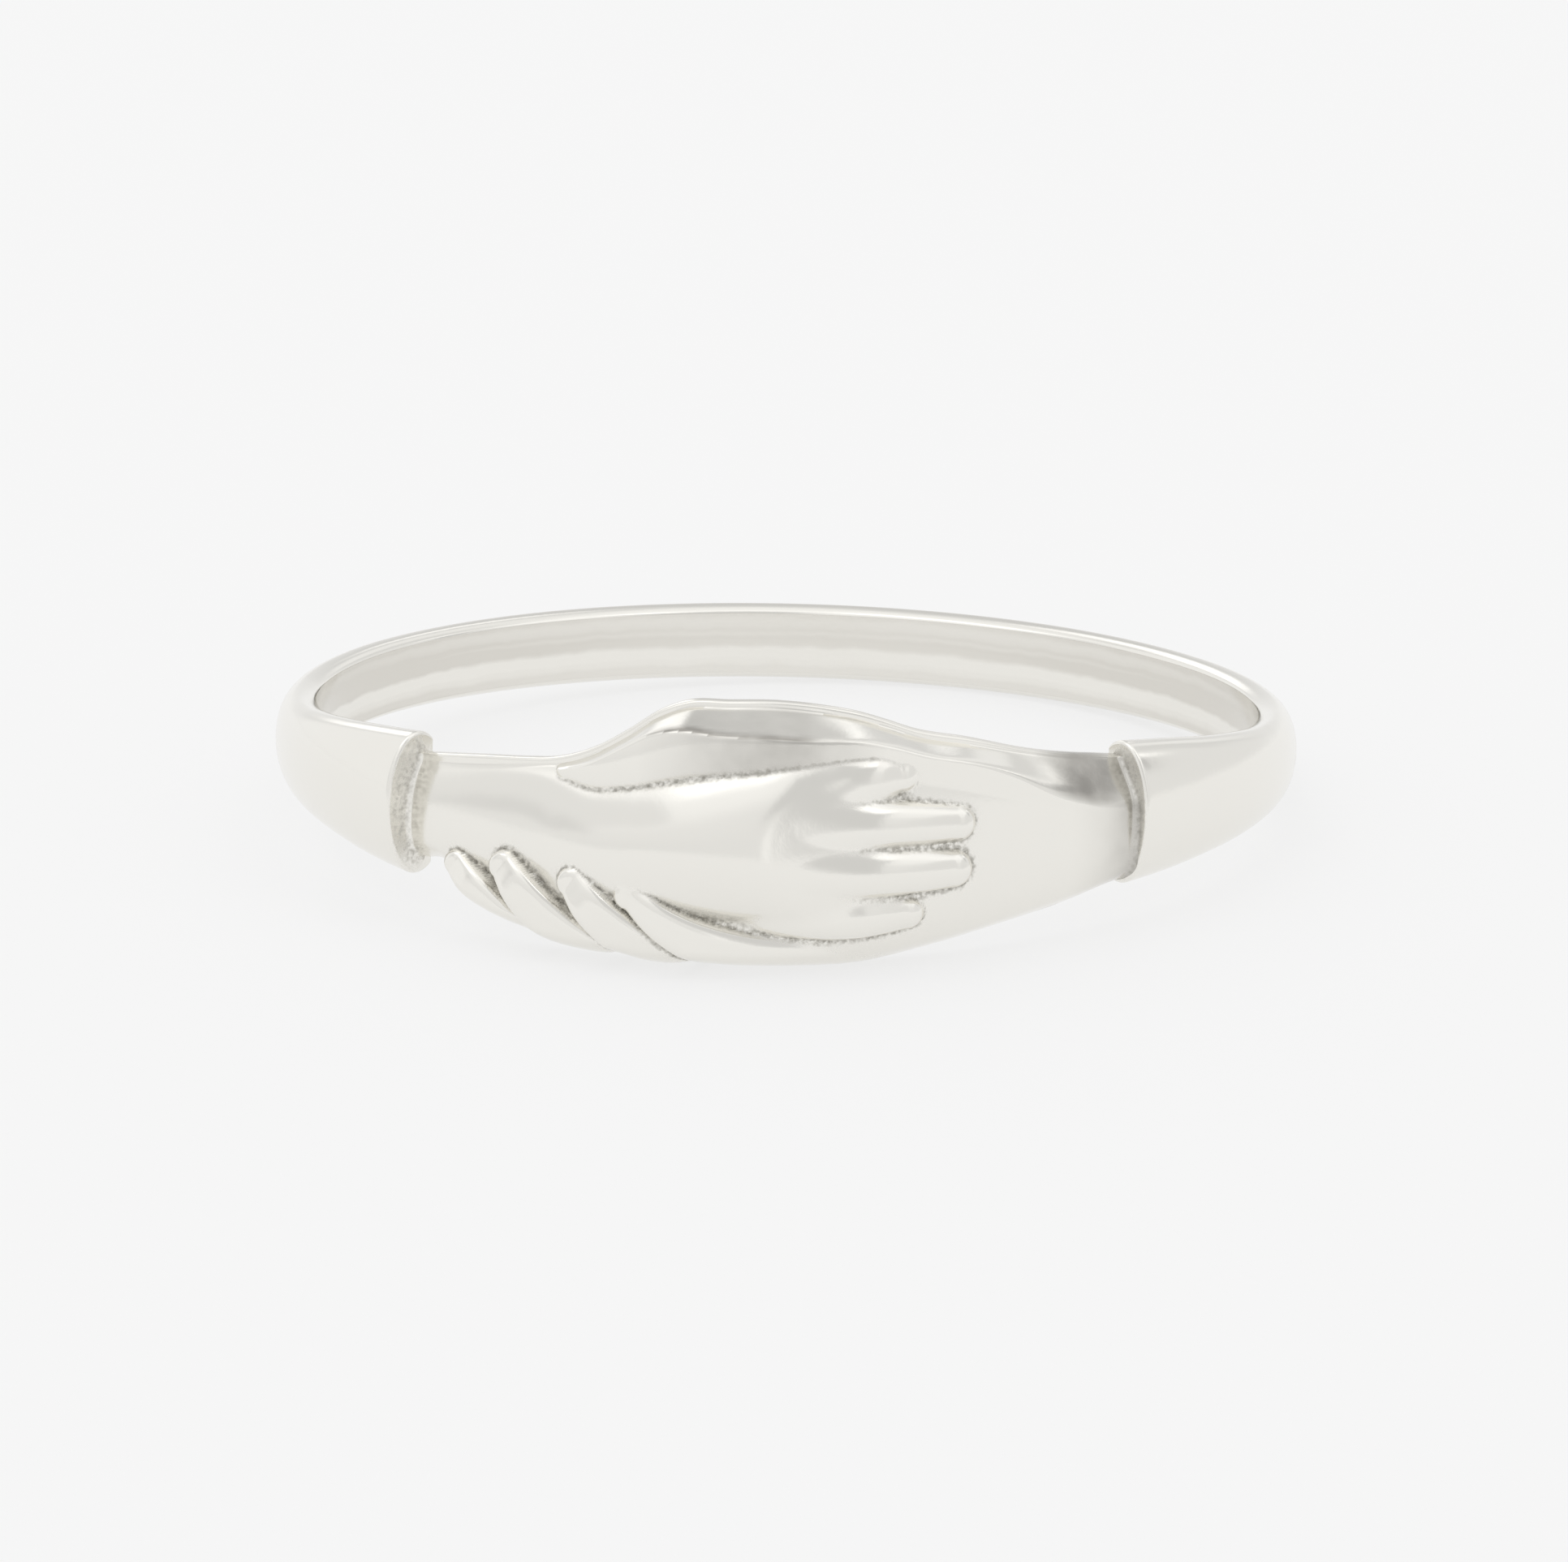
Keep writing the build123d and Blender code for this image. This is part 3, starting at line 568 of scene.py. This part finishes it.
def clasp_sections(sizes, angle, down):
    """Top and bottom edges of the clasp at each angle, and its outside: the relief, brought down to the
    plate's shoulders by a quarter circle along each edge."""
    clasp = Clasp(sizes)
    s = clasp.radius * np.radians(np.where(angle > 180, angle - 360, angle))
    top = clasp.edge(s, TOP_EDGE)
    bottom = clasp.edge(s, BOTTOM_EDGE)
    spread = EVEN_ROWS * down + EDGE_ROWS * (1 - np.cos(math.pi * down)) / 2
    z = top + (bottom - top) * spread
    from_lip = clasp.radius * np.radians(sizes.cuff_angle - np.minimum(angle, 360 - angle)) / sizes.lip_fillet
    fillet = sizes.lip_fillet * (1 - np.sqrt(1 - (1 - np.clip(from_lip, 0, 1)) ** 2))
    thickness = clasp.thickness(s, z) + fillet
    under_top = (top - z) / sizes.top_edge_round
    from_edge = np.where(spread < 0.5, under_top, (z - bottom) / sizes.bottom_edge_round)
    edge_round = np.sqrt(1 - (1 - np.clip(from_edge, 0, 1)) ** 2)
    crown = sizes.plate_shoulder * math.sin(math.radians(SHOULDER_START))
    # Crease tarnish with painted crease shade, raised at the foot of a cuff's lip by tarnish and painted
    # corner shade
    skin = np.maximum(clasp.skin(s, z), FOOT_TARNISH_AND_SHADE * np.clip(1 - from_lip, 0, 1))
    # The painted dark reflection comes last
    return top, bottom, z, crown + (thickness - crown) * edge_round, skin, clasp.dark_reflection_paint(s, z)


def ring_grid(sizes):
    """The whole casting as a closed grid of points, in millimetres: a column for each angle; each column goes
    from the bore's top edge over an eighth of a circle, the outside and another eighth to the bore's bottom
    edge, and back up the bore's wall. A point is (radius sin angle, minus radius cos angle, z)."""
    angle = section_angles(sizes)[:, None] % 360
    down = np.linspace(0, 1, sizes.rows)[None, :]
    hoop = hoop_sections(sizes, angle, down)
    clasp = clasp_sections(sizes, angle, down)
    in_hands = np.minimum(angle, 360 - angle) <= sizes.cuff_angle + 1e-9
    top, bottom, z, outside, skin, painted_dark_reflection = (np.where(in_hands, c, h) for c, h in zip(clasp, hoop))
    shoulder = np.where(in_hands, sizes.plate_shoulder, sizes.hoop_shoulder)
    arc = np.radians(np.linspace(SHOULDER_START, 0, 6)[None, :-1])
    arc_out = shoulder * (math.sin(math.radians(SHOULDER_START)) - np.sin(arc))
    arc_drop = shoulder * (1 - np.cos(arc))
    drop = arc_drop[:, :1]
    wall = np.array(WALL_ROWS)[None, :]
    wall_z = bottom + drop + (top - bottom - 2 * drop) * wall
    height = np.concatenate([top - arc_drop, z, bottom + arc_drop[:, ::-1], wall_z], 1)
    over = np.concatenate([arc_out, outside, arc_out[:, ::-1], 0 * wall_z], 1)
    polished = 0 * arc_out + 0 * top
    # The finish grids: crease tarnish with painted crease shade, painted dark reflection, the bore's lines
    # and the height
    finish = {name: np.concatenate([polished, part, polished, 0 * wall_z], 1)
              for name, part in (("skin", skin), ("painted_dark_reflection", painted_dark_reflection))}
    # Stronger lines, and so a darker bore, towards the sides
    side_streaking = 1 + SIDE_STREAKING * np.sin(np.radians(angle)) ** 2
    finish["inside"] = np.concatenate([polished, 0 * z, polished, side_streaking + 0 * wall_z], 1)
    finish["height"] = height
    radius = sizes.bore_diameter / 2 + over
    turn = np.radians(angle)
    return np.stack([radius * np.sin(turn), -radius * np.cos(turn), height], -1), finish


def ring_placement():
    """From the ring's own space to the frame: the bore's axis and place, as the record gives them."""
    axis = Vector(BORE["axis"]).normalized()
    turn = Vector((0, 0, 1)).rotation_difference(axis)
    return Matrix.Translation(BORE["pos_m"]) @ turn.to_matrix().to_4x4()


def closed_grid_mesh(name, points, attributes):
    """A mesh of the quads of a grid that closes both ways, with an attribute for each grid of values."""
    columns, rows = points.shape[:2]
    index = np.arange(columns * rows).reshape(columns, rows)
    right = np.roll(index, -1, 0)
    quads = np.stack([index, right, np.roll(right, -1, 1), np.roll(index, -1, 1)], -1).reshape(-1, 4)
    mesh = bpy.data.meshes.new(name)
    mesh.from_pydata(points.reshape(-1, 3), [], quads[:, ::-1])
    for key, values in attributes.items():
        attribute = mesh.attributes.new(key, "FLOAT", "POINT")
        attribute.data.foreach_set("value", values.ravel().astype(np.float32))
    mesh.shade_smooth()
    mesh.set_sharp_from_angle(angle=math.radians(SHARP_ANGLE))
    return mesh


def linear_colour(code):
    """Linear RGBA of an sRGB hex colour."""
    channels = np.array([int(code[i:i + 2], 16) for i in (0, 2, 4)]) / 255
    linear = np.where(channels <= 0.04045, channels / 12.92, ((channels + 0.055) / 1.055) ** 2.4)
    return (*linear, 1.0)


def add_node(tree, kind, inputs=(), **settings):
    """A new node with its settings; each input is a value, or another node's output to link."""
    node = tree.nodes.new(kind)
    for name, value in settings.items():
        setattr(node, name, value)
    for name, value in dict(inputs).items():
        if isinstance(value, bpy.types.NodeSocket):
            tree.links.new(value, node.inputs[name])
        else:
            node.inputs[name].default_value = value
    return node


def value_ramp(tree, factor, positions, values):
    """A smooth ramp of values over a factor from 0 to 1."""
    ramp = add_node(tree, "ShaderNodeValToRGB", {"Fac": factor})
    stops = ramp.color_ramp.elements
    while len(stops) < len(positions):
        stops.new(0.5)
    for stop, position, value in zip(stops, positions, values):
        stop.position = position
        stop.color = (value, value, value, 1)
    ramp.color_ramp.interpolation = "EASE"
    return ramp.outputs["Color"]


def soft_window(tree, factor, start, end, edge):
    """One between the start and the end of a range, and nothing outside it, with soft edges."""
    rise = add_node(tree, "ShaderNodeMapRange", {
        "Value": factor, "From Min": start - edge, "From Max": start + edge}, interpolation_type="SMOOTHSTEP")
    fall = add_node(tree, "ShaderNodeMapRange", {
        "Value": factor, "From Min": end + edge, "From Max": end - edge}, interpolation_type="SMOOTHSTEP")
    return add_node(tree, "ShaderNodeMath", {0: rise.outputs["Result"], 1: fall.outputs["Result"]},
                    operation="MULTIPLY").outputs[0]


def new_material(name):
    """An empty node material and its tree."""
    material = bpy.data.materials.new(name)
    material.use_nodes = True
    material.node_tree.nodes.clear()
    return material, material.node_tree


def cast_polished_silver(finish):
    """Sterling silver, lost-wax cast and hand polished: a bright, slightly warm mirror whose faces wave a
    little, with fine pits, duller tarnish left in the creases where the polishing mop can't reach, painted
    crease shade round it, and painted dark reflection greying the bevel, the thumb, the ridge and the right
    wrist."""
    material, tree = new_material("cast_polished_silver")
    place = add_node(tree, "ShaderNodeTexCoord").outputs["Object"]
    # Amount of crease tarnish with painted crease shade, and of painted dark reflection, from the mesh
    skin = add_node(tree, "ShaderNodeAttribute", attribute_name="skin").outputs["Fac"]
    painted_dark_reflection = add_node(tree, "ShaderNodeAttribute", attribute_name="painted_dark_reflection").outputs["Fac"]
    pit_size = finish.grain_size * MM
    specks = add_node(tree, "ShaderNodeTexNoise", {
        "Vector": place, "Scale": 1 / pit_size, "Detail": 3.0, "Roughness": 0.6}).outputs["Fac"]
    patches = add_node(tree, "ShaderNodeTexNoise", {
        "Vector": place, "Scale": 1 / (PATCH_SIZE * pit_size), "Detail": 2.0, "Roughness": 0.5})
    broken = add_node(tree, "ShaderNodeMath", {0: specks, 1: SPECK_GAIN, 2: SPECK_OFFSET},
                      operation="MULTIPLY_ADD").outputs[0]
    kept = add_node(tree, "ShaderNodeMath", {0: broken, 1: skin}, operation="MULTIPLY").outputs[0]
    # Speckled crease tarnish and painted crease shade
    dark = add_node(tree, "ShaderNodeMapRange", {
        "Value": kept, "From Min": TARNISH_AND_SHADE_FROM, "From Max": TARNISH_AND_SHADE_TO}).outputs["Result"]
    shade = add_node(tree, "ShaderNodeMapRange", {
        "Value": patches.outputs["Fac"], "From Min": PATCH_FROM, "From Max": PATCH_TO,
        "To Min": PATCH_LEAST, "To Max": 1.0})
    # Painted dark reflection, varied by the patches, mixes the polished silver towards grey
    painted_reflection_share = add_node(tree, "ShaderNodeMath", {0: shade.outputs["Result"], 1: painted_dark_reflection}, operation="MULTIPLY")
    polished = add_node(tree, "ShaderNodeMix", {
        0: painted_reflection_share.outputs[0], 6: linear_colour(finish.clean), 7: linear_colour(finish.painted_dark_reflection)},
        data_type="RGBA").outputs[2]
    height = add_node(tree, "ShaderNodeAttribute", attribute_name="height").outputs["Fac"]
    drift = add_node(tree, "ShaderNodeMath", {0: patches.outputs["Fac"], 1: LINE_DRIFT, 2: height},
                     operation="MULTIPLY_ADD").outputs[0]
    lines = add_node(tree, "ShaderNodeTexNoise", {
        "W": drift, "Scale": 1 / finish.line_size, "Detail": 2.0}, noise_dimensions="1D").outputs["Fac"]
    streaks = add_node(tree, "ShaderNodeMapRange", {
        "Value": lines, "From Min": LINE_FROM, "From Max": LINE_TO}).outputs["Result"]
    inside = add_node(tree, "ShaderNodeAttribute", attribute_name="inside").outputs["Fac"]
    streaked = add_node(tree, "ShaderNodeMath", {0: streaks, 1: inside}, operation="MULTIPLY",
                        use_clamp=True).outputs[0]
    worn = add_node(tree, "ShaderNodeMix", {
        0: streaked, 6: polished, 7: linear_colour(finish.worn)}, data_type="RGBA").outputs[2]
    # The crease tarnish and painted shade colour goes over everything else
    colour = add_node(tree, "ShaderNodeMix", {
        0: dark, 6: worn, 7: linear_colour(finish.tarnish_and_shade_colour)}, data_type="RGBA").outputs[2]
    rough = add_node(tree, "ShaderNodeMapRange", {
        "Value": kept, "From Max": ROUGH_TO, "To Min": finish.roughness,
        "To Max": finish.crease_roughness}).outputs["Result"]
    waves = add_node(tree, "ShaderNodeTexNoise", {
        "Vector": place, "Scale": 1 / (finish.wave_size * MM), "Detail": 1.0, "Roughness": 0.4})
    polish = add_node(tree, "ShaderNodeBump", {
        "Height": waves.outputs["Fac"], "Strength": WAVE_STRENGTH, "Distance": WAVE_HEIGHT * MM})
    depth = add_node(tree, "ShaderNodeMapRange", {
        "Value": dark, "To Min": CLEAN_PITS, "To Max": 1.0}).outputs["Result"]
    pits = add_node(tree, "ShaderNodeBump", {
        "Height": specks, "Strength": depth, "Distance": PIT_HEIGHT * MM,
        "Normal": polish.outputs["Normal"]})
    shader = add_node(tree, "ShaderNodeBsdfPrincipled", {
        "Base Color": colour, "Metallic": 1.0, "Roughness": rough, "Normal": pits.outputs["Normal"]})
    add_node(tree, "ShaderNodeOutputMaterial", {"Surface": shader.outputs["BSDF"]})
    return material


def lit_acrylic(studio):
    """A light table's top: matt white acrylic sheet, lit evenly from below, so a shadow on it is faint."""
    material, tree = new_material("lit_acrylic_table")
    shader = add_node(tree, "ShaderNodeBsdfPrincipled", {
        "Base Color": linear_colour(studio.floor_colour), "Roughness": 0.9, "Specular IOR Level": 0.1,
        "Emission Color": (1, 1, 1, 1), "Emission Strength": studio.floor_glow})
    add_node(tree, "ShaderNodeOutputMaterial", {"Surface": shader.outputs["BSDF"]})
    return material


class RING_OT_cast_ring(bpy.types.Operator):
    """Model the silver ring, one casting of hoop, cuffs and clasped hands"""
    bl_idname = "ring.cast_ring"
    bl_label = "Cast Ring"

    def execute(self, context):
        sizes = context.scene.ring_sizes
        finish = context.scene.silver_finish
        points, parts = ring_grid(sizes)
        place = np.array(ring_placement())
        points = points * MM @ place[:3, :3].T + place[:3, 3]
        mesh = closed_grid_mesh("silver_ring", points, parts)
        ring = bpy.data.objects.new("silver_ring", mesh)
        context.scene.collection.objects.link(ring)
        mesh.materials.append(cast_polished_silver(finish))
        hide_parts(NODE)
        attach(ring, "root")
        return {"FINISHED"}


class RING_OT_set_stage(bpy.types.Operator):
    """Set the floor, the light tent and the camera"""
    bl_idname = "ring.set_stage"
    bl_label = "Set Stage"

    def execute(self, context):
        studio = context.scene.studio_settings
        self.lay_floor(context, studio)
        self.light_tent(context, studio)
        self.place_camera(context, studio)
        context.scene.view_settings.view_transform = "Standard"
        return {"FINISHED"}

    def lay_floor(self, context, studio):
        """A wide square of lit acrylic at the height of the ring's lowest point."""
        half = FLOOR_REACH * studio.camera_distance
        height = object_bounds()[0][2]
        corners = [(-half, -half, height), (half, -half, height), (half, half, height), (-half, half, height)]
        mesh = bpy.data.meshes.new("floor")
        mesh.from_pydata(corners, [], [(0, 1, 2, 3)])
        mesh.materials.append(lit_acrylic(studio))
        floor = bpy.data.objects.new("floor", mesh)
        context.scene.collection.objects.link(floor)
        floor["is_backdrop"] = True

    def light_tent(self, context, studio):
        """Soft light by direction: a tent whose brightness goes by how far up a direction is turned, with
        soft boxes and grey cards in it."""
        world = bpy.data.worlds.new("light_tent")
        world.use_nodes = True
        tree = world.node_tree
        tree.nodes.clear()
        direction = add_node(tree, "ShaderNodeTexCoord").outputs["Generated"]
        parts = add_node(tree, "ShaderNodeSeparateXYZ", {"Vector": direction}).outputs
        forward = add_node(tree, "ShaderNodeMath", {0: parts["Y"], 1: -1.0}, operation="MULTIPLY").outputs[0]
        turn = add_node(tree, "ShaderNodeMath", {0: parts["Z"], 1: forward}, operation="ARCTAN2").outputs[0]
        share = add_node(tree, "ShaderNodeMath", {0: turn, 1: math.pi}, operation="DIVIDE").outputs[0]
        light = value_ramp(tree, share, LIGHT_TENT["turn"] / 180, LIGHT_TENT["brightness"])
        edge = studio.card_edge
        for low, high, left, right, brightness in zip(*CARDS.values()):
            between = soft_window(tree, turn, math.radians(low), math.radians(high), math.pi * edge)
            across = soft_window(tree, parts["X"], left, right, edge)
            card = add_node(tree, "ShaderNodeMath", {0: between, 1: across}, operation="MULTIPLY").outputs[0]
            light = add_node(tree, "ShaderNodeMix", {0: card, 2: light, 3: brightness}).outputs[0]
        background = add_node(tree, "ShaderNodeBackground", {"Color": light, "Strength": studio.light})
        add_node(tree, "ShaderNodeOutputWorld", {"Surface": background.outputs[0]})
        context.scene.world = world

    def place_camera(self, context, studio):
        """The camera stands at its angles to the ring's own space, and looks past the ring's centre by the
        view offset."""
        aside = Matrix.Rotation(studio.azimuth, 4, "Z")
        up = Matrix.Rotation(math.pi / 2 - studio.elevation, 4, "X")
        stand = aside @ up @ Matrix.Translation((0, 0, studio.camera_distance))
        aim = Vector((-studio.view_offset[0], -studio.view_offset[1], -studio.camera_distance))
        lean = Vector((0, 0, -1)).rotation_difference(aim).to_matrix().to_4x4()
        roll = Matrix.Rotation(studio.roll, 4, "Z")
        camera = bpy.data.objects.new("camera", bpy.data.cameras.new("camera"))
        camera.matrix_world = ring_placement() @ stand @ roll @ lean
        camera.data.sensor_width = 36.0
        camera.data.lens = camera.data.sensor_width * studio.camera_distance / studio.view_width
        camera.data.clip_start = 0.01
        camera.data.clip_end = 100.0
        context.scene.collection.objects.link(camera)
        context.scene.camera = camera


class RING_PT_panel(bpy.types.Panel):
    """The ring's operators in the sidebar"""
    bl_idname = "RING_PT_panel"
    bl_label = "Clasped Hands Ring"
    bl_space_type = "VIEW_3D"
    bl_region_type = "UI"
    bl_category = "Ring"

    def draw(self, context):
        for operator in OPERATORS:
            self.layout.operator(operator.bl_idname)


GROUPS = {"ring_sizes": RingSizes, "silver_finish": SilverFinish, "studio_settings": StudioSettings}
OPERATORS = (RING_OT_cast_ring, RING_OT_set_stage)


def register():
    for name, group in GROUPS.items():
        bpy.utils.register_class(group)
        setattr(bpy.types.Scene, name, PointerProperty(type=group))
    for member in (*OPERATORS, RING_PT_panel):
        bpy.utils.register_class(member)


def unregister():
    for member in reversed((*OPERATORS, RING_PT_panel)):
        bpy.utils.unregister_class(member)
    for name, group in GROUPS.items():
        delattr(bpy.types.Scene, name)
        bpy.utils.unregister_class(group)


def main():
    register()
    bpy.ops.ring.cast_ring()
    bpy.ops.ring.set_stage()


if __name__ == "__main__":
    main()
